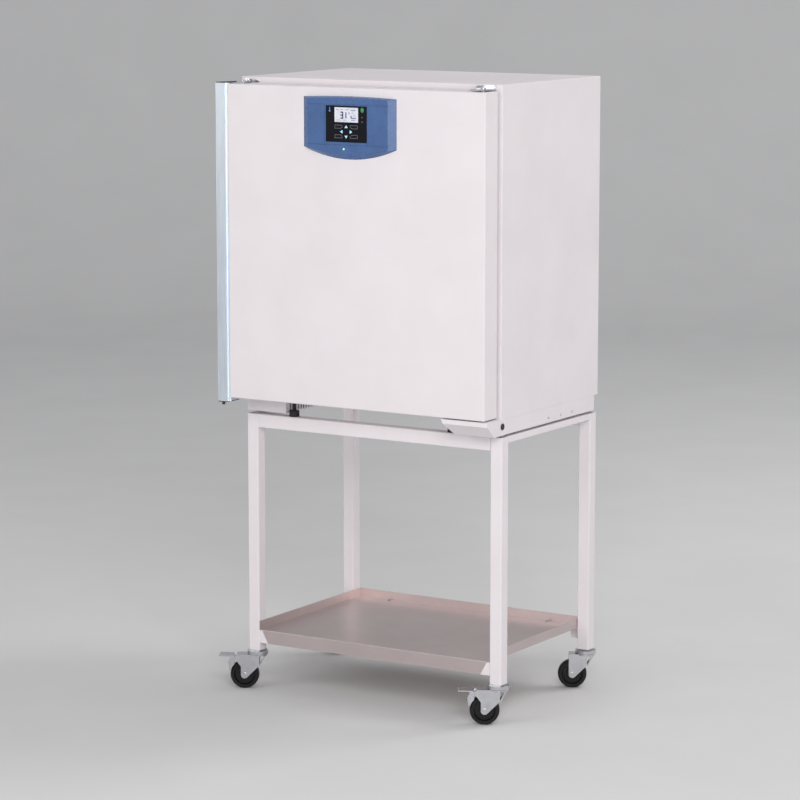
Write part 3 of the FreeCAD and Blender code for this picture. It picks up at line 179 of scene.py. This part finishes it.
KEY_BLACK = (0.007, 0.007, 0.011)
MATERIALS = {
    "painted_white": painted("powder_coat", (0.79, 0.745, 0.765)),
    "stainless": metal("stainless", (0.63, 0.63, 0.64), (0.24, 0.34), (1, 1, 18),
                       spread=0.035, bump=0.05),
    "zinc": metal("zinc_plate", (0.64, 0.64, 0.67), (0.17, 0.26), scale=70, spread=0.05),
    "tray_metal": metal("tray_sheet", (0.63, 0.545, 0.535), (0.33, 0.39), scale=14,
                        spread=0.02, bump=0.004, metallic=0.85),
    "anodised": metal("anodised", (0.84, 0.91, 1.0), (0.30, 0.42), (1, 1, 0.04), scale=420,
                      spread=0.03),
    "black_plastic": plastic("black_moulding", (0.022, 0.022, 0.024), (0.42, 0.6)),
    "blue_plastic": plastic("blue_moulding", (0.058, 0.124, 0.298), (0.24, 0.32)),
    "black_gloss": foil("window_foil", (0.006, 0.006, 0.010), (0.12, 0.18)),
    "screen": lit("screen", (0.66, 0.67, 0.72), 0.10),
    "green_light": lit("green_lamp", (0.42, 0.92, 0.20), 1.5),
    "circuit_board": board("circuit_board"),
    "mineral_wool": fibre("mineral_wool", (0.62, 0.55, 0.34)),
    "silicone": plastic("silicone", (0.46, 0.44, 0.42), (0.55, 0.7)),
    "black_rubber": plastic("black_rubber", (0.014, 0.014, 0.014), (0.6, 0.8), 800, 0.2),
    "clear_glass": glass("clear_glass"),
    "green_plastic": plastic("green_key", (0.03, 0.22, 0.07), (0.25, 0.4)),
    "wheel_black": plastic("wheel_rubber", (0.006, 0.006, 0.006), (0.26, 0.42), 700, 0.12,
                           Specular_IOR_Level=0.3),
    "grey_plastic": foil("soft_key", KEY_BLACK),
    "white_plastic": foil("arrow_key", KEY_BLACK),
}
INK_BLUE = plastic("screen_ink", (0.025, 0.02, 0.16), (0.3, 0.4), Specular_IOR_Level=0.2)
INK_PALE = plastic("screen_ghost", (0.24, 0.24, 0.48), (0.3, 0.4))
# The arrow prints glow faintly although they are no lamps: painted light.
ARROW_PAINTED_GLOW_BLUE = lit("arrow_print_painted_glow", (0.36, 0.66, 0.90), 0.35)
OUTLINE_GREY = plastic("outline_print", (0.15, 0.15, 0.18), (0.3, 0.4))
DOT_GREY = plastic("indicator_dot", (0.22, 0.24, 0.24), (0.25, 0.35))
LEAF_GREEN = plastic("power_print", (0.10, 0.44, 0.20), (0.3, 0.4))
# The thermometer sign glows faintly although it is no lamp: painted light.
ICON_PAINTED_GLOW_BLUE = lit("icon_print_painted_glow", (0.07, 0.24, 0.62), 0.25)
# Mid grey: painted shade in the screws' cross recesses, and the print of the blank rows on the
# rating plate.
SHADE_AND_PRINT_GREY = plastic("recess_shade_and_print_grey", (0.30, 0.29, 0.30), (0.5, 0.6))
PLATE_SILVER = metal("rating_plate_foil", (0.70, 0.71, 0.72), (0.3, 0.4), (14, 1, 1),
                     scale=120, spread=0.04)

slots = {row["node"]: row["material_slot"] for row in frame["record"]["subparts"]}
for name, thing in nodes.items():
    thing.data.materials.clear()
    thing.data.materials.append(MATERIALS[slots[name]])


# ---------------------------------------------------------------- shape helpers

def add_piece(name, fill, material, body, smooth=False):
    """A mesh that fill() puts together, riding on a body."""
    mesh = bpy.data.meshes.new(name)
    build = bmesh.new()
    fill(build)
    bmesh.ops.recalc_face_normals(build, faces=build.faces)
    build.to_mesh(mesh)
    build.free()
    if smooth:
        mesh.shade_smooth()
        mesh.set_sharp_from_angle(angle=math.radians(35))
    mesh.materials.append(material)
    thing = bpy.data.objects.new(name, mesh)
    scene.collection.objects.link(thing)
    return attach(thing, body)


def skin(build, one, two):
    """The faces between two closed rings of corners."""
    for step in range(len(one)):
        after = (step + 1) % len(one)
        build.faces.new((one[step], one[after], two[after], two[step]))


def prism(build, outline, front, back):
    """A closed outline of (x, z) pairs made solid between two depths."""
    rings = [[build.verts.new((x, depth, z)) for x, z in outline] for depth in (front, back)]
    build.faces.new(rings[0])
    build.faces.new(rings[1][::-1])
    skin(build, *rings)


def frame_prism(build, outer, inner, front, back):
    """A ring between two outlines of (x, z) pairs, made solid between two depths."""
    outer_front, outer_back, inner_front, inner_back = [
        [build.verts.new((x, depth, z)) for x, z in outline]
        for outline in (outer, inner) for depth in (front, back)]
    skin(build, outer_front, inner_front)
    skin(build, inner_front, inner_back)
    skin(build, inner_back, outer_back)
    skin(build, outer_back, outer_front)


def lathe(build, profile, centre, axis, steps=24):
    """A profile of (radius, height) pairs turned round an axis through the centre."""
    turn = Vector((0, 0, 1)).rotation_difference(Vector(axis)).to_matrix()
    rings = []
    for radius, height in profile:
        ring = []
        for step in range(steps if radius > 0 else 1):
            angle = 2 * math.pi * step / steps
            spot = Vector((radius * math.cos(angle), radius * math.sin(angle), height))
            ring.append(build.verts.new(turn @ spot + Vector(centre)))
        rings.append(ring)
    for low, high in zip(rings, rings[1:]):
        if len(low) > 1 and len(high) > 1:
            skin(build, low, high)
            continue
        for step in range(steps):
            after = (step + 1) % steps
            if len(low) == 1:
                build.faces.new((low[0], high[step], high[after]))
            else:
                build.faces.new((low[step], low[after], high[0]))


def box_faces(build, corners):
    """The six faces of a block whose corners run low to high in each direction in turn."""
    made = [build.verts.new(corner) for corner in corners]
    for face in ((0, 1, 3, 2), (4, 6, 7, 5), (0, 4, 5, 1), (2, 3, 7, 6), (0, 2, 6, 4),
                 (1, 5, 7, 3)):
        build.faces.new([made[index] for index in face])


def block(build, low, high):
    box_faces(build, [(x, y, z) for x in (low[0], high[0]) for y in (low[1], high[1])
                      for z in (low[2], high[2])])


def round_outline(x, z, wide, high, steps=28):
    return [(x + wide / 2 * math.cos(2 * math.pi * step / steps),
             z + high / 2 * math.sin(2 * math.pi * step / steps)) for step in range(steps)]


def rectangle(x, z, wide, high):
    return [(x - wide / 2, z - high / 2), (x + wide / 2, z - high / 2),
            (x + wide / 2, z + high / 2), (x - wide / 2, z + high / 2)]


def middle(node):
    """The centre of a node's box and the depth of its front."""
    low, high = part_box(node)
    return (low + high) / 2, low.y


# ---------------------------------------------------------------- prints and keys

PRINT = 0.07 * MM

# Which of the seven strokes of a figure are dark: top, upper left, upper right, middle,
# lower left, lower right, bottom.
STROKES = {"3": "1011011", "1": "0010010"}

# Centre, width and height of each dash on the screen, in mm from the screen's centre.
DASHES = ((-26, 12, 9, 1.6), (-13, 12.5, 8, 1.2), (2, 12.5, 11, 1.2), (20, 11.5, 13, 2.6),
          (19, 5, 5, 1.2), (8, 4, 3, 5), (14, -5, 4, 6), (23, -2, 6, 1.2), (21, -8, 14, 3.4),
          (20, -13, 12, 1.6), (-22, -13, 12, 1.2), (-4, -13, 9, 1.0))


def figure_strokes(x, z, wide, high, thick, figure):
    """The outlines of one figure's strokes round a centre."""
    side, half = wide / 2 - thick / 2, high / 2 - thick / 2
    flat, tall = (wide, thick), (thick, half)
    places = ((0, half, flat), (-side, half / 2, tall), (side, half / 2, tall), (0, 0, flat),
              (-side, -half / 2, tall), (side, -half / 2, tall), (0, -half, flat))
    return [rectangle(x + right, z + up, *size)
            for (right, up, size), dark in zip(places, STROKES[figure]) if dark == "1"]


def add_screen_marks():
    """Two large figures and rows of short dashes on the screen."""
    centre, glass_front = middle("lcd_screen")
    front = glass_front - PRINT

    def at(x, z):
        return centre.x + x * MM, centre.z + z * MM

    def figures(build):
        for x, figure in ((-13, "3"), (-3.5, "1")):
            for outline in figure_strokes(*at(x, -1), 8 * MM, 17.5 * MM, 2.9 * MM, figure):
                prism(build, outline, front, glass_front)

    def dashes(build):
        for x, z, wide, thick in DASHES:
            prism(build, rectangle(*at(x, z), wide * MM, thick * MM), front, glass_front)

    add_piece("screen_figures", figures, INK_BLUE, "outer_door")
    add_piece("screen_dashes", dashes, INK_PALE, "outer_door")


def add_arrow_prints():
    """Triangles on the arrow keys, just proud of the caps; the print glows faintly, a painted
    light.
    """
    points = {"up": ((-1, -0.6), (1, -0.6), (0, 1)), "down": ((-1, 0.6), (1, 0.6), (0, -1)),
              "left": ((0.6, -1), (0.6, 1), (-1, 0)), "right": ((-0.6, -1), (-0.6, 1), (1, 0))}
    for side, triangle in points.items():
        node = f"arrow_{side}_key"
        centre, cap = middle(node)
        outline = [(centre.x + x * 4.7 * MM, centre.z + z * 4.4 * MM) for x, z in triangle]
        add_piece(f"arrow_{side}_print", lambda build: prism(build, outline, cap - PRINT, cap),
                  ARROW_PAINTED_GLOW_BLUE, f"{node}_body")


def add_soft_key_outlines():
    """Thin outlines on the soft keys, each with one corner cut off."""
    for level, cut in (("upper", -1), ("lower", 1)):
        for side, hand in (("left", -1), ("right", 1)):
            node = f"soft_key_{level}_{side}"
            centre, cap = middle(node)
            corners = ((hand, -cut), (-hand, -cut), (-hand, cut * 0.1), (-hand * 0.62, cut),
                       (hand, cut))
            loops = [[(centre.x + x * (11.3 - inset) * MM, centre.z + z * (4.6 - inset) * MM)
                      for x, z in corners] for inset in (0.2, 1.3)]
            add_piece(f"{node}_outline",
                      lambda build: frame_prism(build, *loops, cap - PRINT, cap),
                      OUTLINE_GREY, f"{node}_body")


def add_power_button():
    """Oval domed cap in place of the key's plain block, with a ring and a bar on it."""
    centre, front = middle("power_button")
    low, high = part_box("power_button")

    def cap(build):
        profile = ((1.0, high.y), (1.0, front + 0.9 * MM), (0.9, front + 0.3 * MM),
                   (0.72, front))
        rings = []
        for share, depth in profile:
            outline = round_outline(centre.x, centre.z, (high.x - low.x) * share,
                                    (high.z - low.z) * share)
            rings.append([build.verts.new((x, depth, z)) for x, z in outline])
        for one, two in zip(rings, rings[1:]):
            skin(build, one, two)
        build.faces.new(rings[0])
        build.faces.new(rings[-1])

    def symbol(build):
        ring_z = centre.z - 0.4 * MM
        frame_prism(build, round_outline(centre.x, ring_z, 4.6 * MM, 5.4 * MM),
                    round_outline(centre.x, ring_z, 3.4 * MM, 4.2 * MM), front - PRINT, front)
        prism(build, rectangle(centre.x, centre.z + 2.2 * MM, 0.8 * MM, 3.2 * MM),
              front - PRINT, front)

    oval = add_piece("power_button_cap", cap, MATERIALS["green_plastic"],
                     "power_button_body", True)
    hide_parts("power_button")
    add_piece("power_symbol", symbol, LEAF_GREEN, "power_button_body")


def add_window_prints():
    """Two indicator dots below the power key and a small thermometer sign opposite it; the sign
    glows faintly, a painted light.
    """
    key = middle("power_button")[0]
    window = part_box("keypad_panel")[0]
    front = window.y - PRINT

    def dots(build):
        for drop in (17.5, 28.7):
            prism(build, round_outline(key.x, key.z - drop * MM, 2.6 * MM, 2.6 * MM, 20),
                  front, window.y)

    def sign(build):
        x, z = window.x + 11.5 * MM, key.z + 1.0 * MM
        prism(build, round_outline(x, z - 4.6 * MM, 5 * MM, 5 * MM, 20), front, window.y)
        prism(build, rectangle(x, z + 1.0 * MM, 2.2 * MM, 7 * MM), front, window.y)

    add_piece("indicator_dots", dots, DOT_GREY, "outer_door")
    add_piece("thermometer_sign", sign, ICON_PAINTED_GLOW_BLUE, "outer_door")


# ---------------------------------------------------------------- screws and rating plate

# All in mm. Side screws: distances from the casing's front and height above the beams' foot.
SIDE_SCREWS, SIDE_SCREW_RISE = (237, 300, 358), 13
COVER_SCREW_INSET = 14
TRAY_SCREW_X, TRAY_SCREW_INSET = 244, 12
# Radius and height of a screw's head.
PANEL_HEAD, TRAY_HEAD = (3, 1.8), (4.5, 2.5)


def screw_places():
    """(centre of the head's underside, outward axis, radius, height) of every panel screw."""
    beams_low, beams_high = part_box("plinth_beams")
    cover_low, cover_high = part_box("rear_cover")
    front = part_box("outer_casing")[0].y
    tray_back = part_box("stand_legs")[1].y - TRAY_SCREW_INSET * MM
    tray_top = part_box("panel_screws")[0].z
    made = []
    for y in SIDE_SCREWS:
        for side, x in ((-1, beams_low.x), (1, beams_high.x)):
            made.append(((x, front + y * MM, beams_low.z + SIDE_SCREW_RISE * MM), (side, 0, 0),
                         *PANEL_HEAD))
    inset = COVER_SCREW_INSET * MM
    for side in (-1, 1):
        for z in (cover_low.z + inset, cover_high.z - inset):
            x = side * (cover_high.x - inset)
            made.append(((x, cover_high.y, z), (0, 1, 0), *PANEL_HEAD))
            made.append(((side * TRAY_SCREW_X * MM, tray_back, tray_top), (0, 0, 1),
                         *TRAY_HEAD))
    return made


def add_screws():
    """Domed heads with a cross recess drawn as a grey cross of painted shade, in place of the
    plain discs.
    """
    places = screw_places()

    def heads(build):
        dome = ((0, 0), (1, 0), (1, 0.35), (0.86, 0.72), (0.5, 0.97), (0, 0.985))
        for centre, axis, radius, height in places:
            lathe(build, [(r * radius * MM, h * height * MM) for r, h in dome], centre, axis)

    # Grey crosses on the heads: painted shade for the cross recesses.
    def crosses(build):
        for centre, axis, radius, height in places:
            out = Vector(axis)
            side = out.orthogonal().normalized()
            other = out.cross(side)
            spot = Vector(centre) + out * (height * MM * 0.9)
            reach, thin, deep = radius * 0.5 * MM, radius * 0.11 * MM, height * 0.1 * MM
            for long, short in ((side, other), (other, side)):
                box_faces(build, [spot + long * reach * a + short * thin * b + out * deep * c
                                  for a in (-1, 1) for b in (-1, 1) for c in (-1, 1)])

    domed = add_piece("panel_screw_heads", heads, MATERIALS["zinc"], "cabinet", True)
    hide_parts("panel_screws")
    add_piece("panel_screw_cross_shade", crosses, SHADE_AND_PRINT_GREY, "cabinet")


def add_rating_plate():
    """Foil plate without lettering on the rear cover: a plain sheet and blank rows."""
    low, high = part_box("rear_cover")
    x, z, y = low.x + 0.095, low.z + 0.10, high.y

    def sheet(build):
        block(build, (x - 0.045, y, z - 0.03), (x + 0.045, y + 0.0003, z + 0.03))

    def rows(build):
        for row in range(5):
            rise = z + (0.019 - row * 0.0095)
            block(build, (x - 0.038, y + 0.0003, rise - 0.0012),
                  (x + (0.036 if row % 2 else 0.018), y + 0.0004, rise + 0.0012))

    add_piece("rating_plate", sheet, PLATE_SILVER, "cabinet")
    add_piece("rating_plate_rows", rows, SHADE_AND_PRINT_GREY, "cabinet")


add_screen_marks()
add_arrow_prints()
add_soft_key_outlines()
add_power_button()
add_window_prints()
add_screws()
add_rating_plate()


# ---------------------------------------------------------------- floor, light, camera

VIEW_AZIMUTH, VIEW_ELEVATION, VIEW_DISTANCE = math.radians(31.77), math.radians(8.74), 8.175
VIEW_TARGET = (-0.0336, -0.053, 0.7605)


def floor_material(name, colour, rough):
    made = Shader(name, Specular_IOR_Level=0.05)
    made.colours(made.noise(2.5, 5), tint(colour, 0.985), tint(colour, 1.015))
    made.roughness(made.noise(9, 3), rough, rough + 0.1)
    return made.material


def add_floor():
    """Pale floor that curves up into a wall behind the object."""
    front, bend, radius, top, half_width = -14.0, 7.0, 3.0, 14.0, 16.0
    profile = [(front, 0.0), (bend, 0.0)]
    for step in range(1, 13):
        turn = step / 12 * math.pi / 2
        profile.append((bend + radius * math.sin(turn), radius - radius * math.cos(turn)))
    profile.append((bend + radius, top))
    mesh = bpy.data.meshes.new("floor")
    build = bmesh.new()
    left, right = [[build.verts.new((x, y, z)) for y, z in profile]
                   for x in (-half_width, half_width)]
    for step in range(len(profile) - 1):
        build.faces.new((left[step], right[step], right[step + 1], left[step + 1]))
    build.to_mesh(mesh)
    build.free()
    mesh.shade_smooth()
    mesh.materials.append(floor_material("studio_floor", (0.70, 0.70, 0.70), 0.85))
    floor = bpy.data.objects.new("floor", mesh)
    floor.rotation_euler = (0, 0, math.radians(31.8))
    scene.collection.objects.link(floor)


def add_light(name, place, target, power, size, colour=(1, 1, 1)):
    """Rectangular area light at a place, facing a target."""
    data = bpy.data.lights.new(name, "AREA")
    data.shape = "RECTANGLE"
    data.size, data.size_y = size
    data.energy = power
    data.color = colour
    lamp = bpy.data.objects.new(name, data)
    lamp.location = place
    lamp.rotation_mode = "QUATERNION"
    lamp.rotation_quaternion = (Vector(target) - Vector(place)).to_track_quat("-Z", "Y")
    scene.collection.objects.link(lamp)


def add_world():
    world = bpy.data.worlds.new("studio")
    world.use_nodes = True
    back = world.node_tree.nodes["Background"]
    back.inputs["Color"].default_value = (0.97, 0.98, 1.0, 1)
    back.inputs["Strength"].default_value = 0.45
    scene.world = world


def add_camera():
    """Long lens from the hinge side, slightly above."""
    back = Vector((math.sin(VIEW_AZIMUTH) * math.cos(VIEW_ELEVATION),
                   -math.cos(VIEW_AZIMUTH) * math.cos(VIEW_ELEVATION),
                   math.sin(VIEW_ELEVATION)))
    data = bpy.data.cameras.new("camera")
    data.sensor_width = 36.0
    data.lens = 143.8
    data.clip_end = 100
    camera = bpy.data.objects.new("camera", data)
    camera.location = Vector(VIEW_TARGET) + back * VIEW_DISTANCE
    camera.rotation_mode = "QUATERNION"
    camera.rotation_quaternion = (-back).to_track_quat("-Z", "Y")
    scene.collection.objects.link(camera)
    scene.camera = camera


add_floor()
add_light("key", (4.0, -4.9, 3.4), (0, 0, 0.9), 186, (2.4, 3.0), (1.0, 0.985, 0.985))
add_light("left", (-2.6, -5.0, 3.0), (0, 0, 0.9), 56, (3.2, 2.6), (1.0, 0.99, 0.985))
add_light("top", (0.5, 1.2, 5.5), (0, 0, 0.8), 14, (4.0, 3.0), (1.0, 0.90, 0.88))
add_light("low_fill", (3.1, -5.0, 0.9), (0, 0, 0.7), 34, (2.4, 1.4))
add_light("backdrop", (2.6, 2.8, 4.6), (-1.2, 4.6, 0.2), 100, (3.0, 2.0))
add_world()
add_camera()
